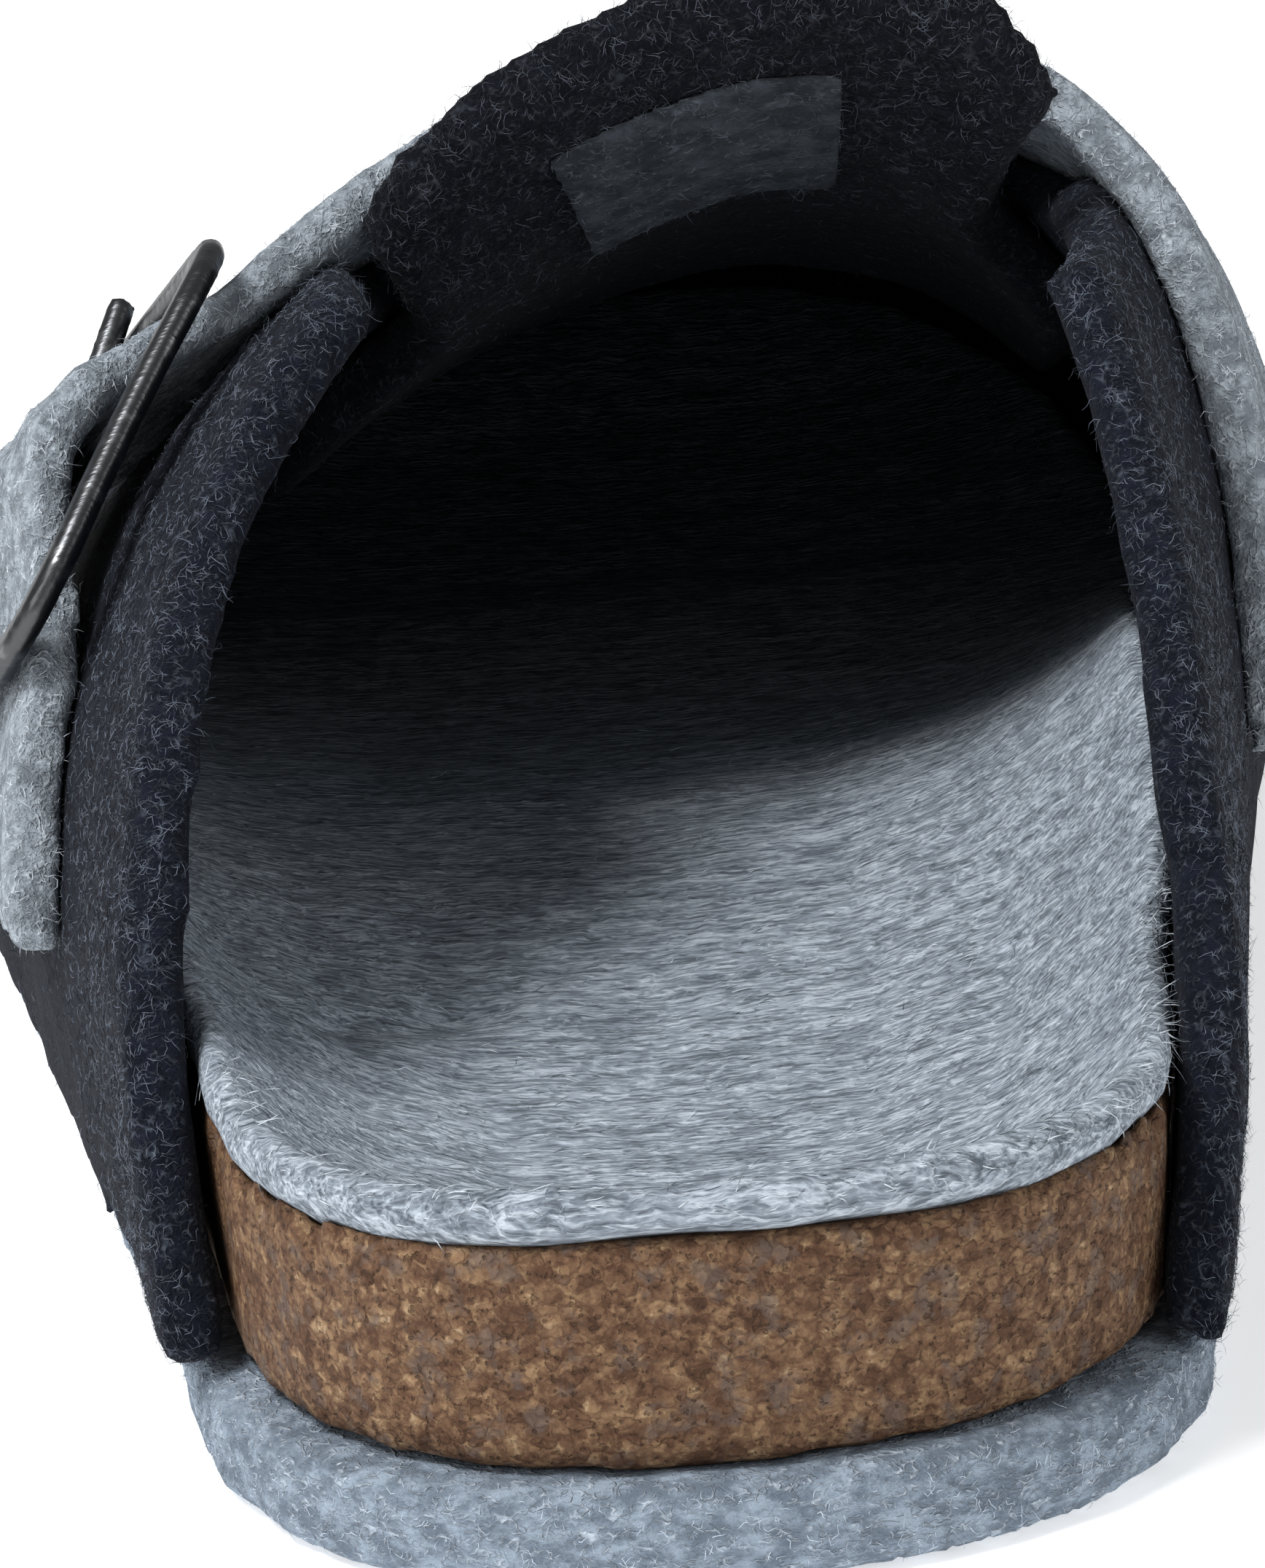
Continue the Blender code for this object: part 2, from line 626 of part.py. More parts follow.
def make_strap():
    low = UPPER_WALL + CLEARANCE
    mesh = slab(
        "instep_strap",
        strap_grid(STRAP_ENDS["outer"], STRAP_ENDS["inner"], low, 40),
        strap_grid(STRAP_ENDS["outer"], STRAP_ENDS["inner"], low + STRAP_WALL, 40),
    )
    strap = new_object("instep_strap", mesh, (0.40, 0.44, 0.49), 0.97)
    cut = strap.modifiers.new("prong_hole", "BOOLEAN")
    cut.operation = "DIFFERENCE"
    cut.object = round_cutter("prong_hole", *prong_line(), PRONG_WIDTH / 2 + 2 * CLEARANCE)
    return strap


def make_tab():
    low = UPPER_WALL + CLEARANCE
    mesh = slab(
        "buckle_tab",
        strap_grid(TAB_ENDS["low"], TAB_ENDS["high"], low, 8, rise=0.0),
        strap_grid(TAB_ENDS["low"], TAB_ENDS["high"], low + STRAP_WALL, 8, rise=0.0),
    )
    return new_object("buckle_tab", mesh, (0.40, 0.44, 0.49), 0.97)


def buckle_point(down_run, across_run, height):
    """A point of the buckle, whose frame bends round the foot along the strap."""
    centre, down, across, outward = BUCKLE_AXES
    turn = down_run / BUCKLE_RADIUS
    radius = BUCKLE_RADIUS + height
    return (
        centre
        + down * (radius * math.sin(turn))
        + outward * (radius * math.cos(turn) - BUCKLE_RADIUS)
        + across * across_run
    )


def rounded_frame(half_length, half_width, corner, steps=4):
    """Outline of a rounded rectangle, the same number of points for each size."""
    points = []
    for turn_start, sign_a, sign_b in ((0, 1, 1), (1, -1, 1), (2, -1, -1), (3, 1, -1)):
        for i in range(steps + 1):
            turn = math.pi / 2 * (turn_start + i / steps)
            points.append((
                sign_a * (half_length - corner) + corner * math.cos(turn),
                sign_b * (half_width - corner) + corner * math.sin(turn),
            ))
    return points


def split_runs(points, pieces=4):
    """Adds points along an outline's long sides, so that they can bend."""
    fine = []
    for i, (a, b) in enumerate(points):
        c, d = points[(i + 1) % len(points)]
        long_side = abs(c - a) > 0.008
        for k in range(pieces if long_side else 1):
            share = k / pieces
            fine.append((a + (c - a) * share, b + (d - b) * share))
    return fine


def make_buckle_frame():
    """Rounded frame with bevelled edges and a round centre bar, in one piece."""
    half_length = BUCKLE_LENGTH / 2
    half_width = STRAP_WIDTH / 2 + BUCKLE_PLAY + BUCKLE_RAIL
    bevel = BUCKLE_THICKNESS * 0.3
    low, high = -BUCKLE_THICKNESS / 2, BUCKLE_THICKNESS / 2
    section = [
        (0.0, low + bevel), (0.0, high - bevel), (bevel, high), (BUCKLE_RAIL - bevel, high),
        (BUCKLE_RAIL, high - bevel), (BUCKLE_RAIL, low + bevel), (BUCKLE_RAIL - bevel, low), (bevel, low),
    ]
    shape = bmesh.new()
    loops = []
    for inset, height in section:
        outline = split_runs(rounded_frame(half_length - inset, half_width - inset, BUCKLE_CORNER - inset))
        loops.append([shape.verts.new(buckle_point(a, b, height)) for a, b in outline])
    for k, lower in enumerate(loops):
        upper = loops[(k + 1) % len(loops)]
        for i in range(len(lower)):
            j = (i + 1) % len(lower)
            shape.faces.new((lower[i], lower[j], upper[j], upper[i]))
    frame = new_object("buckle_frame", finish_mesh("buckle_frame", shape), (0.10, 0.10, 0.11), 0.32, 1.0)
    join = frame.modifiers.new("centre_bar", "BOOLEAN")
    join.operation = "UNION"
    reach = half_width - BUCKLE_RAIL / 2
    join.object = round_cutter("centre_bar", buckle_point(0.0, -reach, 0.0), buckle_point(0.0, reach, 0.0),
                               BAR_RADIUS)
    return frame


def round_cutter(name, start, end, radius):
    """Round bar between two points, to cut with or to join on."""
    run = end - start
    place = Matrix.Translation((start + end) / 2) @ run.to_track_quat("Z", "Y").to_matrix().to_4x4()
    shape = bmesh.new()
    bmesh.ops.create_cone(shape, cap_ends=True, segments=12, radius1=radius, radius2=radius,
                          depth=run.length, matrix=place)
    bar = bpy.data.objects.new(name, finish_mesh(name, shape, smooth=False))
    bar.display_type = "WIRE"
    bar.hide_render = True
    cutters.objects.link(bar)
    return bar


def prong_line():
    """The prong's straight run: from beside the centre bar, through the strap, to over the upper bar."""
    half = PRONG_WIDTH / 2
    root = -(BAR_RADIUS + CLEARANCE + half)
    upper_bar = -(BUCKLE_LENGTH - BUCKLE_RAIL) / 2
    over_bar = BUCKLE_THICKNESS / 2 + CLEARANCE + half
    return buckle_point(root, 0.0, 0.0), buckle_point(upper_bar, 0.0, over_bar)


def make_prong():
    """Pin that starts beside the centre bar, comes out of the strap and lies on the frame's upper bar."""
    start, over_bar = prong_line()
    tip = over_bar + (over_bar - start).normalized() * PRONG_WIDTH * 0.8
    curve = bpy.data.curves.new("buckle_prong", "CURVE")
    curve.dimensions = "3D"
    curve.bevel_depth = PRONG_WIDTH / 2
    curve.bevel_resolution = 2
    curve.use_fill_caps = True
    spline = curve.splines.new("POLY")
    spline.points.add(2)
    for spot, place in zip(spline.points, (start, over_bar, tip)):
        spot.co = (*place, 1.0)
    return new_object("buckle_prong", curve, (0.10, 0.10, 0.11), 0.30, 1.0)


def stand_on_origin():
    """Hangs every object on one empty, so that the origin lies under the middle of the slipper's box."""
    bpy.context.view_layer.update()
    graph = bpy.context.evaluated_depsgraph_get()
    points = [vert.co for thing in slipper.objects for vert in thing.evaluated_get(graph).to_mesh().vertices]
    low = Vector([min(point[axis] for point in points) for axis in range(3)])
    high = Vector([max(point[axis] for point in points) for axis in range(3)])
    base = bpy.data.objects.new("base", None)
    base.location = (-(low.x + high.x) / 2, -(low.y + high.y) / 2, -low.z)
    for thing in [*slipper.objects, *cutters.objects]:
        thing.parent = base
    slipper.objects.link(base)


def start_clean():
    for thing in list(bpy.data.objects):
        bpy.data.objects.remove(thing)


def new_collection(name):
    group = bpy.data.collections.new(name)
    bpy.context.scene.collection.children.link(group)
    return group


start_clean()
slipper = new_collection("slipper")
cutters = new_collection("cutters")
make_outsole()
make_cork()
make_lining()
make_upper()
make_tongue()
make_patch()
make_strap()
make_tab()
make_buckle_frame()
make_prong()
stand_on_origin()
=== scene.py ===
import math

import bpy
import numpy as np
from mathutils import Matrix, Vector, noise


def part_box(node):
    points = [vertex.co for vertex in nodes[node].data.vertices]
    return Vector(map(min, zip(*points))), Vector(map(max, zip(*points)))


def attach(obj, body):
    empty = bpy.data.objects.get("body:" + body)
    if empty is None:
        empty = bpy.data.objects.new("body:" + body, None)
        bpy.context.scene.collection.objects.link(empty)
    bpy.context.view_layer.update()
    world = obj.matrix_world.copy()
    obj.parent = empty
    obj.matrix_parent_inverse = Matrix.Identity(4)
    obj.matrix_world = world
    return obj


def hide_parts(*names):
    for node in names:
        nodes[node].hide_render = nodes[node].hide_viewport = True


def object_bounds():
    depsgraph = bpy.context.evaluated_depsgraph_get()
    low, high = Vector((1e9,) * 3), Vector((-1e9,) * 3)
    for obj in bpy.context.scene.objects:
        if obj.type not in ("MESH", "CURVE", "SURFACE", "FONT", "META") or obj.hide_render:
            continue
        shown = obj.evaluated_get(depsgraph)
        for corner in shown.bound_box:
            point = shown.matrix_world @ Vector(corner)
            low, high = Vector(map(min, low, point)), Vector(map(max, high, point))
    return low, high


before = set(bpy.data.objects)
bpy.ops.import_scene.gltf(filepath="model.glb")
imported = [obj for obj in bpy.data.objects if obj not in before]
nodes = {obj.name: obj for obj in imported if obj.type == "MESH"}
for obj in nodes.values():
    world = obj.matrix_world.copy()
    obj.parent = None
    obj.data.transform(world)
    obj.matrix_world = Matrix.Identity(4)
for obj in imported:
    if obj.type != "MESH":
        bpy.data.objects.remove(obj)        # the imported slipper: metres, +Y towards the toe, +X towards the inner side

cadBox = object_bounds()
mm = 0.001
print("frame loaded:", ", ".join(sorted(nodes)))


# Camera, at the photograph's angle: behind the heel, a little above, rolled slightly
view = {
    "place": (-0.03319, -0.71478, 0.2274),
    "yaw": 2.85,              # degrees to the right of straight ahead
    "pitch": -16.39,
    "roll": -3.52,
    "focalPixels": 12800,     # of a picture 1736 pixels wide
    "pictureWidth": 1736,
    "sensor": 36.0,
}


def makeCamera():
    yaw, pitch, roll = (math.radians(view[key]) for key in ("yaw", "pitch", "roll"))
    ahead = Vector((math.sin(yaw) * math.cos(pitch), math.cos(yaw) * math.cos(pitch), math.sin(pitch)))
    level = Vector((math.cos(yaw), -math.sin(yaw), 0.0))
    upright = level.cross(ahead)
    right = level * math.cos(roll) + upright * math.sin(roll)
    up = upright * math.cos(roll) - level * math.sin(roll)
    data = bpy.data.cameras.new("camera")
    data.sensor_fit = "HORIZONTAL"
    data.sensor_width = view["sensor"]
    data.lens = view["focalPixels"] / view["pictureWidth"] * view["sensor"]
    data.clip_start = 0.01
    camera = bpy.data.objects.new("camera", data)
    turn = Matrix((right, up, -ahead)).transposed().to_4x4()
    camera.matrix_world = Matrix.Translation(view["place"]) @ turn
    bpy.context.scene.collection.objects.link(camera)
    bpy.context.scene.camera = camera


# Light: a big soft panel overhead, weaker ones at the sides, and an even pale surround
studio = {
    "top": {"place": (-0.56, -0.36, 1.08), "aim": (0.0, -0.05, 0.03), "size": 0.42, "power": 12.6},
    "left": {"place": (-1.0, -0.70, 0.55), "aim": (0.0, -0.05, 0.04), "size": 0.6, "power": 3.3},
    "right": {"place": (1.0, -0.70, 0.60), "aim": (0.0, 0.00, 0.04), "size": 0.6, "power": 3.0},
    "surround": (0.95, 0.975, 1.0),
    "surroundStrength": 0.28,
    "floorGlow": 0.50,
    "floor": (0.96, 0.96, 0.96),
    "floorSide": 12.0,
    "floorGap": 0.3 * mm,     # between the sole and the floor
}


def makeStudio():
    scene = bpy.context.scene
    for name in ("top", "left", "right"):
        panel = studio[name]
        data = bpy.data.lights.new(name + "Light", "AREA")
        data.size = panel["size"]
        data.energy = panel["power"]
        light = bpy.data.objects.new(name + "Light", data)
        light.location = panel["place"]
        aim = Vector(panel["aim"]) - Vector(panel["place"])
        light.rotation_euler = aim.to_track_quat("-Z", "Y").to_euler()
        scene.collection.objects.link(light)
    world = bpy.data.worlds.new("surround")
    world.use_nodes = True
    back = world.node_tree.nodes["Background"]
    back.inputs["Color"].default_value = (*studio["surround"], 1.0)
    back.inputs["Strength"].default_value = studio["surroundStrength"]
    scene.world = world
    scene.view_settings.view_transform = "Standard"
    half = studio["floorSide"] / 2
    mesh = bpy.data.meshes.new("floor")
    corners = [(-half, -half, 0), (half, -half, 0), (half, half, 0), (-half, half, 0)]
    mesh.from_pydata(corners, [], [(0, 1, 2, 3)])
    floor = bpy.data.objects.new("floor", mesh)
    floor.location = (0.0, 0.0, -studio["floorGap"])
    material = bpy.data.materials.new("paleFloor")
    material.use_nodes = True
    shader = material.node_tree.nodes["Principled BSDF"]
    shader.inputs["Base Color"].default_value = (*studio["floor"], 1.0)
    shader.inputs["Roughness"].default_value = 0.9
    shader.inputs["Emission Color"].default_value = (1.0, 1.0, 1.0, 1.0)
    shader.inputs["Emission Strength"].default_value = studio["floorGlow"]
    mesh.materials.append(material)
    scene.collection.objects.link(floor)


# Shader helpers
class Shading:
    def __init__(self, name):
        self.material = bpy.data.materials.new(name)
        self.material.use_nodes = True
        self.tree = self.material.node_tree
        self.shader = self.tree.nodes["Principled BSDF"]
        self.place = self.add("ShaderNodeTexCoord").outputs["Object"]

    def add(self, kind, values=None, **settings):
        node = self.tree.nodes.new(kind)
        for key, value in settings.items():
            setattr(node, key, value)
        for key, value in (values or {}).items():
            if isinstance(value, bpy.types.NodeSocket):
                self.tree.links.new(value, node.inputs[key])
            else:
                node.inputs[key].default_value = value
        return node

    def math(self, operation, a, b=0.0):
        return self.add("ShaderNodeMath", {0: a, 1: b}, operation=operation).outputs[0]

    def moved(self, offset=(0, 0, 0), scale=(1, 1, 1), place=None):
        values = {"Vector": place or self.place, "Location": offset, "Scale": scale}
        return self.add("ShaderNodeMapping", values).outputs["Vector"]

    def noise(self, place, scale, detail=2.0, rough=0.5, twist=0.0):
        values = {"Vector": place, "Scale": scale, "Detail": detail, "Roughness": rough, "Distortion": twist}
        return self.add("ShaderNodeTexNoise", values).outputs["Fac"]

    def fade(self, value, low, high, start=0.0, end=1.0):
        values = {0: value, 1: low, 2: high, 3: start, 4: end}
        return self.add("ShaderNodeMapRange", values, interpolation_type="SMOOTHSTEP").outputs[0]

    def blend(self, share, a, b):
        mix = self.add("ShaderNodeMix", data_type="RGBA")
        for socket, value in ((mix.inputs[0], share), (mix.inputs[6], a), (mix.inputs[7], b)):
            if isinstance(value, bpy.types.NodeSocket):
                self.tree.links.new(value, socket)
            else:
                socket.default_value = (*value, 1.0) if isinstance(value, tuple) else value
        return mix.outputs[2]

    def ramp(self, value, stops):
        node = self.add("ShaderNodeValToRGB", {"Fac": value})
        band = node.color_ramp
        while len(band.elements) < len(stops):
            band.elements.new(0.5)
        for element, (spot, colour) in zip(band.elements, stops):
            element.position = spot
            element.color = (*colour, 1.0)
        return node.outputs["Color"]

    def warp(self, scale, reach):    # the place pushed about by a noise, so that straight textures waver
        cloud = self.add("ShaderNodeTexNoise", {"Vector": self.place, "Scale": scale, "Detail": 2.0})
        shift = self.add("ShaderNodeVectorMath", {0: cloud.outputs["Color"], 1: (0.5, 0.5, 0.5)},
                         operation="SUBTRACT").outputs[0]
        small = self.add("ShaderNodeVectorMath", {0: shift, "Scale": reach}, operation="SCALE").outputs[0]
        return self.add("ShaderNodeVectorMath", {0: self.place, 1: small}, operation="ADD").outputs[0]

    def threads(self, place, scale, count, width, offset):   # curly lines along the level lines of a noise
        level = self.noise(self.moved(offset, place=place), scale, detail=0.0, twist=0.6)
        band = self.math("FRACT", self.math("MULTIPLY", level, count))
        away = self.math("ABSOLUTE", self.math("SUBTRACT", band, 0.5))
        return self.fade(away, 0.0, width, 1.0, 0.0)

    def finish(self, colour, height, depth, **values):
        self.tree.links.new(colour, self.shader.inputs["Base Color"])
        if height is not None:
            relief = self.add("ShaderNodeBump", {"Height": height, "Distance": depth, "Strength": 1.0})
            self.tree.links.new(relief.outputs["Normal"], self.shader.inputs["Normal"])
        for key, value in values.items():
            name = {"roughness": "Roughness", "metallic": "Metallic", "sheen": "Sheen Weight",
                    "sheenRoughness": "Sheen Roughness", "specular": "Specular IOR Level"}[key]
            self.shader.inputs[name].default_value = value
        return self.material


# Wool felt: a dark or light ground, curly fibres pressed flat in it, and cloudy patches
felts = {
    "darkFelt": {"ground": (0.0038, 0.0052, 0.0104), "patch": (0.0078, 0.0106, 0.0195),
                 "thread": (0.076, 0.090, 0.118), "threadShare": 0.80, "grain": (1.0, 1.0, 1.0)},
    "lightFelt": {"ground": (0.175, 0.200, 0.228), "patch": (0.40, 0.45, 0.50),
                  "thread": (0.70, 0.77, 0.84), "threadShare": 0.85, "grain": (1.0, 1.0, 1.0)},
    "soleFelt": {"ground": (0.145, 0.180, 0.225), "patch": (0.32, 0.385, 0.465),
                 "thread": (0.60, 0.68, 0.77), "threadShare": 0.80, "grain": (0.75, 0.75, 1.3)},
    # the tongue's copy of the dark felt, darker all over: painted shade
    "shadedTongueFelt": {"ground": (0.0030, 0.0036, 0.0062), "patch": (0.0062, 0.0076, 0.0125),
                   "thread": (0.050, 0.056, 0.070), "threadShare": 0.75, "grain": (1.0, 1.0, 1.0)},
    "patchFelt": {"ground": (0.024, 0.028, 0.034), "patch": (0.058, 0.067, 0.080),
                  "thread": (0.15, 0.17, 0.20), "threadShare": 0.7, "grain": (0.6, 1.2, 1.2)},
}

feltTexture = {
    "cloud": 520.0,           # all of these are counts a metre
    "coarse": 760.0,
    "fine": 1350.0,
    "broken": 1100.0,         # where the fibres dip under
    "tone": 1900.0,
    "grain": 2100.0,
    "relief": 0.30 * mm,
}


def makeFelt(name):
    look = felts[name]
    s = Shading(name)
    wool = s.moved(scale=look["grain"])
    cloud = s.noise(s.moved((3.1, 0.4, 7.7), place=wool), feltTexture["cloud"], detail=4.0, rough=0.65)
    cloud = s.fade(cloud, 0.36, 0.66)
    ground = s.blend(cloud, look["ground"], look["patch"])
    coarse = s.threads(wool, feltTexture["coarse"], 3.0, 0.15, (0.0, 0.0, 0.0))
    fine = s.threads(wool, feltTexture["fine"], 3.0, 0.20, (5.3, 2.2, 9.1))
    broken = s.noise(s.moved((8.0, 1.0, 2.0), place=wool), feltTexture["broken"], detail=1.0)
    broken = s.fade(broken, 0.40, 0.60)
    tone = s.noise(s.moved((2.0, 7.0, 5.0), place=wool), feltTexture["tone"], detail=1.0)
    tone = s.fade(tone, 0.30, 0.66, 0.35, 1.0)
    lines = s.math("MULTIPLY", s.math("MAXIMUM", coarse, s.math("MULTIPLY", fine, 0.75)), broken)
    share = s.math("MULTIPLY", s.math("MULTIPLY", lines, tone), look["threadShare"])
    colour = s.blend(share, ground, look["thread"])
    grain = s.noise(wool, feltTexture["grain"], detail=3.0, rough=0.7)
    height = s.math("ADD", s.math("MULTIPLY", cloud, 0.6), grain)
    height = s.math("ADD", s.math("MULTIPLY", lines, 0.7), height)
    return s.finish(colour, height, feltTexture["relief"], roughness=0.95, sheen=0.03, sheenRoughness=0.6,
                    specular=0.08)


# Loose fibres on a felt: their colour runs from shade to light from one fibre to the next
def makeFibreWool(name, shade, light):
    s = Shading(name)
    tone = s.noise(s.moved((1.0, 6.0, 4.0)), 900.0, detail=1.0)
    colour = s.blend(s.fade(tone, 0.36, 0.64), shade, light)
    return s.finish(colour, None, 0.0, roughness=0.7, specular=0.2)


# Combed wool of the footbed: short wavy strands across it
lining = {
    "shade": (0.125, 0.147, 0.175),
    "middle": (0.285, 0.33, 0.385),
    "light": (0.58, 0.645, 0.72),
    "strand": (420.0, 2500.0, 2500.0),      # strands a metre along X, Y and Z
    "tuft": (150.0, 620.0, 620.0),
    "waver": (420.0, 1.5 * mm),             # how often and how far the strands waver
    "relief": 0.9 * mm,
}


def makeLiningWool():
    s = Shading("liningWool")
    wavy = s.warp(*lining["waver"])
    strands = s.noise(s.moved(scale=lining["strand"], place=wavy), 1.0, detail=2.0, rough=0.6)
    tufts = s.noise(s.moved(scale=lining["tuft"], place=wavy), 1.0, detail=3.0, rough=0.6)
    level = s.math("ADD", s.math("MULTIPLY", strands, 0.62), s.math("MULTIPLY", tufts, 0.38))
    colour = s.ramp(level, [(0.37, lining["shade"]), (0.49, lining["middle"]), (0.62, lining["light"])])
    return s.finish(colour, level, lining["relief"], roughness=0.95, sheen=0.05, sheenRoughness=0.6,
                    specular=0.08)


# Pressed cork: granules of a few browns in a darker binder, with greyish ones among them
cork = {
    "binder": (0.060, 0.028, 0.014),
    "grey": (0.135, 0.105, 0.090),
    "stops": [(0.0, (0.048, 0.023, 0.012)), (0.32, (0.100, 0.049, 0.026)), (0.55, (0.170, 0.094, 0.052)),
              (0.78, (0.270, 0.165, 0.088)), (1.0, (0.46, 0.33, 0.20))],
    "granule": 960.0,         # granules a metre
    "crumb": 1900.0,
    "waver": (900.0, 1.3 * mm),
    "relief": 0.22 * mm,
}


def makeCorkMaterial():
    s = Shading("corkGranules")
    place = s.moved(scale=(0.9, 0.9, 1.1), place=s.warp(*cork["waver"]))
    tones = []
    for scale, channel in ((cork["granule"], 0), (cork["crumb"], 1)):
        cells = s.add("ShaderNodeTexVoronoi", {"Vector": place, "Scale": scale})
        tones.append(s.add("ShaderNodeSeparateColor", {"Color": cells.outputs["Color"]}).outputs[channel])
    soft = s.noise(s.moved((4.0, 4.0, 4.0)), 700.0, detail=5.0, rough=0.7)
    tone = s.math("ADD", s.math("MULTIPLY", tones[0], 0.34), s.math("MULTIPLY", tones[1], 0.26))
    tone = s.math("ADD", tone, s.fade(soft, 0.30, 0.70, -0.04, 0.42))
    colour = s.ramp(tone, cork["stops"])
    greyed = s.fade(s.noise(s.moved((7.0, 2.0, 6.0)), 430.0, detail=3.0, rough=0.6), 0.52, 0.66, 0.0, 0.55)
    colour = s.blend(greyed, colour, cork["grey"])
    gap = s.add("ShaderNodeTexVoronoi", {"Vector": place, "Scale": cork["granule"]},
                feature="DISTANCE_TO_EDGE")
    edge = s.fade(gap.outputs["Distance"], 0.0, 0.20)
    pits = s.fade(s.noise(s.moved((9.0, 3.0, 1.0)), 1900.0, detail=2.0), 0.60, 0.72)
    colour = s.blend(s.fade(edge, 0.0, 1.0, 0.72, 1.0), cork["binder"], colour)
    colour = s.blend(s.math("MULTIPLY", pits, 0.55), colour, cork["binder"])
    height = s.math("ADD", s.math("SUBTRACT", s.math("MULTIPLY", edge, 0.4), pits), soft)
    return s.finish(colour, height, cork["relief"], roughness=0.75, specular=0.22)


# Gunmetal: dark plating with faint brushing
gunmetal = {"colour": (0.085, 0.088, 0.092), "worn": (0.30, 0.31, 0.32), "roughness": 0.34}


def makeGunmetal():
    s = Shading("gunmetal")
    brushed = s.noise(s.moved(scale=(900.0, 4000.0, 900.0)), 1.0, detail=2.0)
    rubbed = s.fade(s.noise(s.moved((1.0, 2.0, 3.0)), 380.0, detail=3.0, rough=0.6), 0.52, 0.68)
    colour = s.blend(s.math("MULTIPLY", rubbed, 0.5), gunmetal["colour"], gunmetal["worn"])
    return s.finish(colour, brushed, 0.05 * mm, roughness=gunmetal["roughness"], metallic=1.0)


# Soft forms: a finer skin over a CAD solid, rounded as felt is, with shallow lumps
def joinSolids(name, parts):
    joint = bpy.data.meshes.new(name)
    spots, corners = [], []
    for part in parts:
        mesh = nodes[part].data
        corners += [[len(spots) + k for k in face.vertices] for face in mesh.polygons]
        spots += [vert.co[:] for vert in mesh.vertices]
    joint.from_pydata(spots, [], corners)
    return joint


def skinOver(parts, name, form, shape=None):
    piece = bpy.data.objects.new(name, joinSolids(name, parts))
    bpy.context.scene.collection.objects.link(piece)
    remesh = piece.modifiers.new("skin", "REMESH")
    remesh.mode = "VOXEL"
    remesh.voxel_size = form["voxel"]
    remesh.use_smooth_shade = True
    soften = piece.modifiers.new("soften", "SMOOTH")
    soften.factor = 0.5
    soften.iterations = form["rounds"]
    graph = bpy.context.evaluated_depsgraph_get()
    fine = bpy.data.meshes.new_from_object(piece.evaluated_get(graph))
    piece.modifiers.clear()
    piece.data = fine
    count = len(fine.vertices)
    spots = np.empty(count * 3)
    sides = np.empty(count * 3)
    fine.vertices.foreach_get("co", spots)
    fine.vertices.foreach_get("normal", sides)
    spots, sides = spots.reshape(-1, 3), sides.reshape(-1, 3)
    rise = np.array([noise.noise(Vector(spot) * form["lumpScale"]) for spot in spots]) * form["lump"]
    rise = rise + form["swell"]
    if shape:
        rise = rise + shape(spots, sides)
    spots = spots + sides * rise[:, None]
    spots[:, 2] = np.maximum(spots[:, 2], 0.0)          # nothing sinks into the floor
    fine.vertices.foreach_set("co", spots.ravel())
    fine.shade_smooth()
    fine.update()
    return piece


# Creases: each is a soft trough (depth below 0: a ridge) along a line of given points
def creaseShape(creases):
    def shape(spots, sides):
        rise = np.zeros(len(spots))
        for crease in creases:
            line = np.array(crease["line"])
            near = np.full(len(spots), 1e9)
            for a, b in zip(line, line[1:]):
                run = b - a
                share = np.clip((spots - a) @ run / (run @ run), 0.0, 1.0)
                near = np.minimum(near, np.linalg.norm(spots - a - share[:, None] * run, axis=1))
            rise -= crease["depth"] * np.exp(-(near / crease["width"]) ** 2)
        return rise
    return shape


# Fibres: ribbons that wander over a skin. Each starts on it, curls, and ends near it or sticks out
def readTriangles(piece):
    mesh = piece.data
    mesh.calc_loop_triangles()
    spots = np.empty(len(mesh.vertices) * 3)
    mesh.vertices.foreach_get("co", spots)
    corners = np.empty(len(mesh.loop_triangles) * 3, np.int32)
    mesh.loop_triangles.foreach_get("vertices", corners)
    return spots.reshape(-1, 3)[corners.reshape(-1, 3)]


def unit(rows):
    return rows / np.maximum(np.linalg.norm(rows, axis=1, keepdims=True), 1e-12)


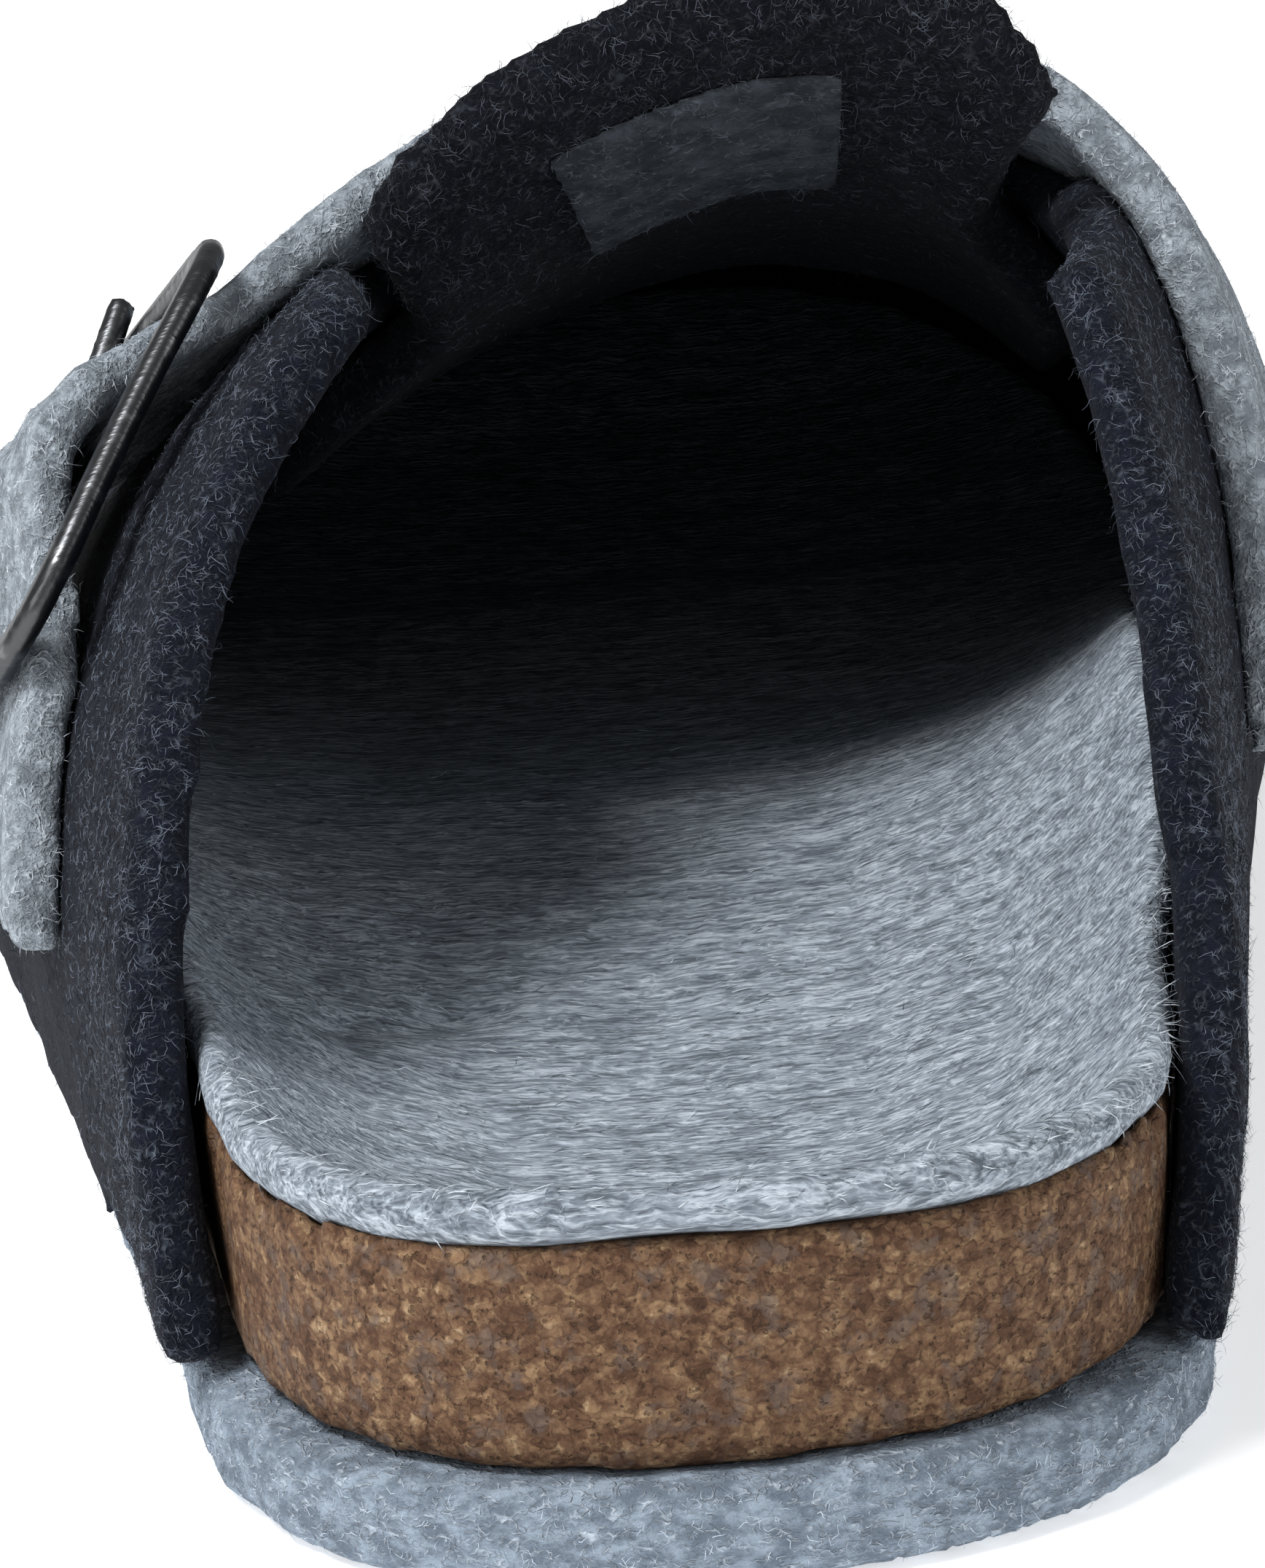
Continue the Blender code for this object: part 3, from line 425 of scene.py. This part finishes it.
def makeFibres(name, piece, look, density, seed, lead=None):
    rng = np.random.default_rng(seed)
    faces = readTriangles(piece)
    cross = np.cross(faces[:, 1] - faces[:, 0], faces[:, 2] - faces[:, 0])
    middles, sides = faces.mean(axis=1), unit(cross)
    weight = np.linalg.norm(cross, axis=1) * density(middles, sides)
    count, joints = look["count"], look["joints"]
    pick = rng.choice(len(faces), size=count, p=weight / weight.sum())
    a, b = rng.random(count), rng.random(count)
    over = a + b > 1
    a[over], b[over] = 1 - a[over], 1 - b[over]
    corner = faces[pick]
    first, second = corner[:, 1] - corner[:, 0], corner[:, 2] - corner[:, 0]
    start = corner[:, 0] + a[:, None] * first + b[:, None] * second
    out = sides[pick]
    if lead is None:
        first = unit(np.cross(out, rng.normal(size=(count, 3))))
    else:
        way = lead(start) + rng.normal(size=(count, 3)) * look["scatter"]
        first = unit(way - out * (way * out).sum(axis=1, keepdims=True))
    second = np.cross(out, first)
    length = look["length"] * rng.uniform(0.5, 1.5, count)
    curl = look["curl"] * rng.normal(size=count)
    wobble, phase = look["wobble"] * rng.uniform(0.3, 1.0, count), rng.uniform(0, 2 * math.pi, count)
    lift = look["lift"] * rng.uniform(0.2, 1.0, count)
    stray = rng.random(count) < look["strays"]
    lift[stray] = look["strayLift"] * rng.uniform(0.4, 1.0, stray.sum())
    roll = rng.uniform(-0.9, 0.9, count)
    path = np.empty((joints, count, 3))
    place = start - out * (0.1 * mm)
    for k in range(joints):
        share = k / (joints - 1)
        arch = np.where(stray, share, math.sin(math.pi * min(share * 1.1, 1.0)))
        path[k] = place + out * (lift * arch)[:, None]
        angle = curl * share + wobble * np.sin(2 * math.pi * share * look["waves"] + phase)
        place = place + (first * np.cos(angle)[:, None] + second * np.sin(angle)[:, None]) * (
            length / (joints - 1))[:, None]
    verts = np.empty((joints, 2, count, 3))
    for k in range(joints):
        run = unit(path[min(k + 1, joints - 1)] - path[max(k - 1, 0)])
        flat = unit(np.cross(out, run))
        brim = flat * np.cos(roll)[:, None] + out * np.sin(roll)[:, None]
        share = k / (joints - 1)
        half = look["width"] / 2 * (1.0 - 0.75 * share ** 3)
        verts[k, 0] = path[k] - brim * half
        verts[k, 1] = path[k] + brim * half
    verts = verts.transpose(2, 0, 1, 3).reshape(-1, 3)
    verts[:, 2] = np.maximum(verts[:, 2], 0.0)
    base = (np.arange(count) * joints * 2)[:, None, None]
    step = (np.arange(joints - 1) * 2)[None, :, None]
    quads = (base + step + np.array([0, 1, 3, 2])[None, None, :]).reshape(-1, 4)
    mesh = bpy.data.meshes.new(name)
    mesh.vertices.add(len(verts))
    mesh.vertices.foreach_set("co", verts.ravel())
    mesh.loops.add(quads.size)
    mesh.loops.foreach_set("vertex_index", quads.ravel().astype(np.int32))
    mesh.polygons.add(len(quads))
    mesh.polygons.foreach_set("loop_start", np.arange(0, quads.size, 4, dtype=np.int32))
    mesh.update(calc_edges=True)
    mesh.shade_smooth()
    fibres = bpy.data.objects.new(name, mesh)
    bpy.context.scene.collection.objects.link(fibres)
    return fibres


def dress(piece, material, slot, *replaced):
    piece.data.materials.append(material)
    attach(piece, "root")
    if replaced:
        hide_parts(*replaced)
    return piece


makeCamera()
makeStudio()
darkFelt, lightFelt, soleFelt, shadedTongueFelt, patchFelt = (makeFelt(name) for name in felts)
darkFibre = makeFibreWool("darkFibre", (0.010, 0.013, 0.021), (0.145, 0.168, 0.212))
# the tongue's fibres, darker than the upper's: painted shade
shadedTongueFibre = makeFibreWool("shadedTongueFibre", (0.005, 0.006, 0.009), (0.090, 0.100, 0.125))
patchFibre = makeFibreWool("patchFibre", (0.025, 0.030, 0.036), (0.14, 0.16, 0.19))
lightFibre = makeFibreWool("lightFibre", (0.19, 0.215, 0.245), (0.74, 0.80, 0.87))
soleFibre = makeFibreWool("soleFibre", (0.18, 0.22, 0.27), (0.64, 0.72, 0.82))
liningFibre = makeFibreWool("liningFibre", (0.12, 0.14, 0.16), (0.64, 0.70, 0.76))
print("camera, studio and materials made")


# Upper: dark felt, thick soft edges, thicker fuzz at the back edges
upperForm = {
    "voxel": 1.25 * mm, "rounds": 8, "swell": 0.20 * mm, "lump": 0.25 * mm, "lumpScale": 120.0,
    "edgeReach": 0.040,       # how far from the back edges the fuzz is thicker
    "edgeFoot": 0.020,        # where those edges leave the sole, from the heel's back
    "edgeLean": 0.080,        # how far forward they lean up to the top
    "plainFuzz": 0.15,
    "edgeFuzz": 5.0,
    "insideFuzz": 0.08,
    "heart": (0.004, 0.0, 0.028),
}
upperFuzz = {"count": 22000, "joints": 5, "length": 1.6 * mm, "width": 0.048 * mm, "curl": 1.5, "wobble": 0.9,
             "waves": 1.0, "lift": 0.30 * mm, "strays": 0.10, "strayLift": 0.9 * mm}
upperCreases = [
    {"line": [(-0.0379, -0.0916, 0.0348), (-0.0366, -0.0843, 0.0432), (-0.0348, -0.0778, 0.0492),
              (-0.0324, -0.0709, 0.0552), (-0.0298, -0.0652, 0.0600)],
     "width": 1.5 * mm, "depth": 0.45 * mm},
    {"line": [(-0.0346, -0.0893, 0.0365), (-0.0328, -0.0812, 0.0447), (-0.0312, -0.0745, 0.0507),
              (-0.0297, -0.0690, 0.0556), (-0.0277, -0.0641, 0.0596)],
     "width": 1.4 * mm, "depth": -0.35 * mm},
    {"line": [(-0.0520, 0.0300, 0.0300), (-0.0440, 0.0340, 0.0420), (-0.0300, 0.0360, 0.0510)],
     "width": 3.5 * mm, "depth": 0.7 * mm},              # the vamp bends in front of the strap
    {"line": [(0.0560, 0.0320, 0.0300), (0.0480, 0.0360, 0.0420), (0.0360, 0.0370, 0.0510)],
     "width": 3.5 * mm, "depth": 0.7 * mm},
]


def outside(middles, sides):      # 1 on faces that look away from the foot, little inside
    away = middles - np.array(upperForm["heart"])
    away[:, 1] = 0.0
    return np.where((unit(away) * sides).sum(axis=1) > -0.1, 1.0, upperForm["insideFuzz"])


def upperDensity(middles, sides):
    low, high = cadBox[0], cadBox[1]
    lean = (middles[:, 2] / high[2]) * upperForm["edgeLean"]
    back = middles[:, 1] - (low[1] + upperForm["edgeFoot"] + lean)
    near = np.clip(1 - back / upperForm["edgeReach"], 0.0, 1.0)
    return outside(middles, sides) * (upperForm["plainFuzz"] + upperForm["edgeFuzz"] * near)


upper = skinOver(["upper"], "upper_felt", upperForm, creaseShape(upperCreases))
dress(upper, darkFelt, "dark_felt", "upper")
dress(makeFibres("upper_fuzz", upper, upperFuzz, upperDensity, 11), darkFibre, "dark_felt")
print("upper made")


# Tongue: the same felt, but a darker copy of it and of its fibres as painted shade, most of its fuzz on the
# standing back edge
tongueForm = {"voxel": 1.0 * mm, "rounds": 10, "swell": 0.15 * mm, "lump": 0.25 * mm, "lumpScale": 120.0,
              "edgeReach": 0.022, "plainFuzz": 0.3, "edgeFuzz": 3.0}
tongueFuzz = dict(upperFuzz, count=9000)


def evenly(middles, sides):
    return np.ones(len(middles))


def tongueDensity(middles, sides):
    back = middles[:, 1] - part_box("tongue")[0][1]
    near = np.clip(1 - back / tongueForm["edgeReach"], 0.0, 1.0)
    return tongueForm["plainFuzz"] + tongueForm["edgeFuzz"] * near


tongue = skinOver(["tongue"], "tongue_felt", tongueForm)
dress(tongue, shadedTongueFelt, "dark_felt", "tongue")
dress(makeFibres("tongue_fuzz", tongue, tongueFuzz, tongueDensity, 12), shadedTongueFibre, "dark_felt")


# Patch on the tongue's underside: plain grey cloth
patchForm = {"voxel": 0.5 * mm, "rounds": 3, "swell": 0.0, "lump": 0.15 * mm, "lumpScale": 300.0}
patchFuzz = dict(upperFuzz, count=1500, length=1.3 * mm, lift=0.2 * mm, strays=0.02)
patchSkin = skinOver(["tongue_patch"], "tongue_patch_cloth", patchForm)
dress(patchSkin, patchFelt, "patch_felt", "tongue_patch")
dress(makeFibres("tongue_patch_fuzz", patchSkin, patchFuzz, evenly, 17), patchFibre, "patch_felt")
print("tongue and patch made")


# Instep strap and buckle tab: light felt, which lies on as one where the strap's end meets the tab
strapForm = {"voxel": 0.95 * mm, "rounds": 6, "swell": 0.10 * mm, "lump": 0.25 * mm, "lumpScale": 170.0,
             "plainFuzz": 0.35, "rearFuzz": 1.3, "topFuzz": 0.5}
strapFuzz = dict(upperFuzz, count=18000, joints=4, length=1.3 * mm, strays=0.12, strayLift=0.8 * mm)


def backFacing(middles, sides):
    rear = strapForm["rearFuzz"] * np.clip(-sides[:, 1], 0.0, 1.0)
    top = strapForm["topFuzz"] * np.clip(sides[:, 2], 0.0, 1.0)
    return strapForm["plainFuzz"] + rear + top


strapSkin = skinOver(["instep_strap", "buckle_tab"], "instep_strap_felt", strapForm)
dress(strapSkin, lightFelt, "light_felt", "instep_strap", "buckle_tab")
dress(makeFibres("instep_strap_fuzz", strapSkin, strapFuzz, backFacing, 13), lightFibre, "light_felt")
print("strap and tab made")


# Outsole: pressed light felt, fuzzy round its side
soleForm = {"voxel": 1.25 * mm, "rounds": 2, "swell": 0.15 * mm, "lump": 0.22 * mm, "lumpScale": 160.0,
            "bare": 0.4 * mm, "flatFuzz": 0.1}        # no fuzz below bare: that is the underside
soleFuzz = dict(strapFuzz, count=12000, length=1.2 * mm)


def soleSides(middles, sides):
    upright = np.clip(1 - np.abs(sides[:, 2]), 0.0, 1.0)
    return np.where(middles[:, 2] > soleForm["bare"], 1.0, 0.0) * (soleForm["flatFuzz"] + upright)


outsole = skinOver(["outsole"], "outsole_felt", soleForm)
dress(outsole, soleFelt, "sole_felt", "outsole")
dress(makeFibres("outsole_fuzz", outsole, soleFuzz, soleSides, 15), soleFibre, "sole_felt")
print("outsole made")


# Cork and its lining
corkForm = {"voxel": 1.45 * mm, "rounds": 3, "swell": 0.10 * mm, "lump": 0.10 * mm, "lumpScale": 300.0}
liningForm = {"voxel": 1.1 * mm, "rounds": 5, "swell": 0.32 * mm, "lump": 0.25 * mm, "lumpScale": 130.0}
napFuzz = {"count": 12000, "joints": 4, "length": 2.3 * mm, "width": 0.09 * mm, "curl": 0.5, "wobble": 0.5,
           "waves": 0.8, "lift": 0.16 * mm, "strays": 0.03, "strayLift": 0.5 * mm, "scatter": 0.30}
napLay = {
    "reach": 0.12,            # from the heel forward, where the nap gets thin
    "turn": 8.0,              # degrees from straight across
    "drop": 30.0,             # how much it turns down on the outer side
    "dropFrom": 0.005,
    "dropOver": 0.03,
}
liningCreases = [
    {"line": [(-0.0316, -0.0549, 0.0235), (-0.0292, -0.0621, 0.0221), (-0.0268, -0.0667, 0.0209),
              (-0.0226, -0.0643, 0.0188), (-0.0139, -0.0583, 0.0169)],
     "width": 2.6 * mm, "depth": 0.7 * mm},
    {"line": [(-0.0290, -0.0700, 0.0235), (-0.0255, -0.0740, 0.0210), (-0.0200, -0.0730, 0.0190)],
     "width": 3.0 * mm, "depth": -0.5 * mm},
    {"line": [(0.0276, -0.0506, 0.0226), (0.0262, -0.0600, 0.0210), (0.0249, -0.0769, 0.0197)],
     "width": 2.4 * mm, "depth": 0.45 * mm},
]


def liningTop(middles, sides):
    rear = np.clip(1.3 - (middles[:, 1] - cadBox[0][1]) / napLay["reach"], 0.05, 1.0)
    return rear * np.clip(sides[:, 2] + 0.35, 0.0, 1.0)


def napWay(start):               # the nap runs across, and drops a little towards the outer side of the heel
    drop = np.clip((-start[:, 0] - napLay["dropFrom"]) / napLay["dropOver"], 0.0, 1.0)
    turn = np.radians(napLay["turn"] - napLay["drop"] * drop)
    return np.stack([np.cos(turn), np.sin(turn), np.zeros(len(start))], axis=1)


corkBlock = skinOver(["cork_footbed"], "cork_block", corkForm)
dress(corkBlock, makeCorkMaterial(), "cork", "cork_footbed")
cover = skinOver(["footbed_lining"], "lining_wool", liningForm, creaseShape(liningCreases))
dress(cover, makeLiningWool(), "lining_felt", "footbed_lining")
dress(makeFibres("lining_nap", cover, napFuzz, liningTop, 16, napWay), liningFibre, "lining_felt")
print("cork and lining made")


# Buckle: gunmetal, its edges rounded by wear
metalForm = {"voxel": 0.40 * mm, "rounds": 4, "swell": 0.05 * mm, "lump": 0.0, "lumpScale": 1.0}
metal = makeGunmetal()
for part in ("buckle_frame", "buckle_prong"):
    dress(skinOver([part], part + "_metal", metalForm), metal, "gunmetal", part)
print("buckle made")

faces = {piece.name: sum(len(face.vertices) - 2 for face in piece.data.polygons)
         for piece in bpy.context.scene.objects if piece.type == "MESH" and piece.name not in nodes}
print("triangles:", sum(faces.values()), faces)
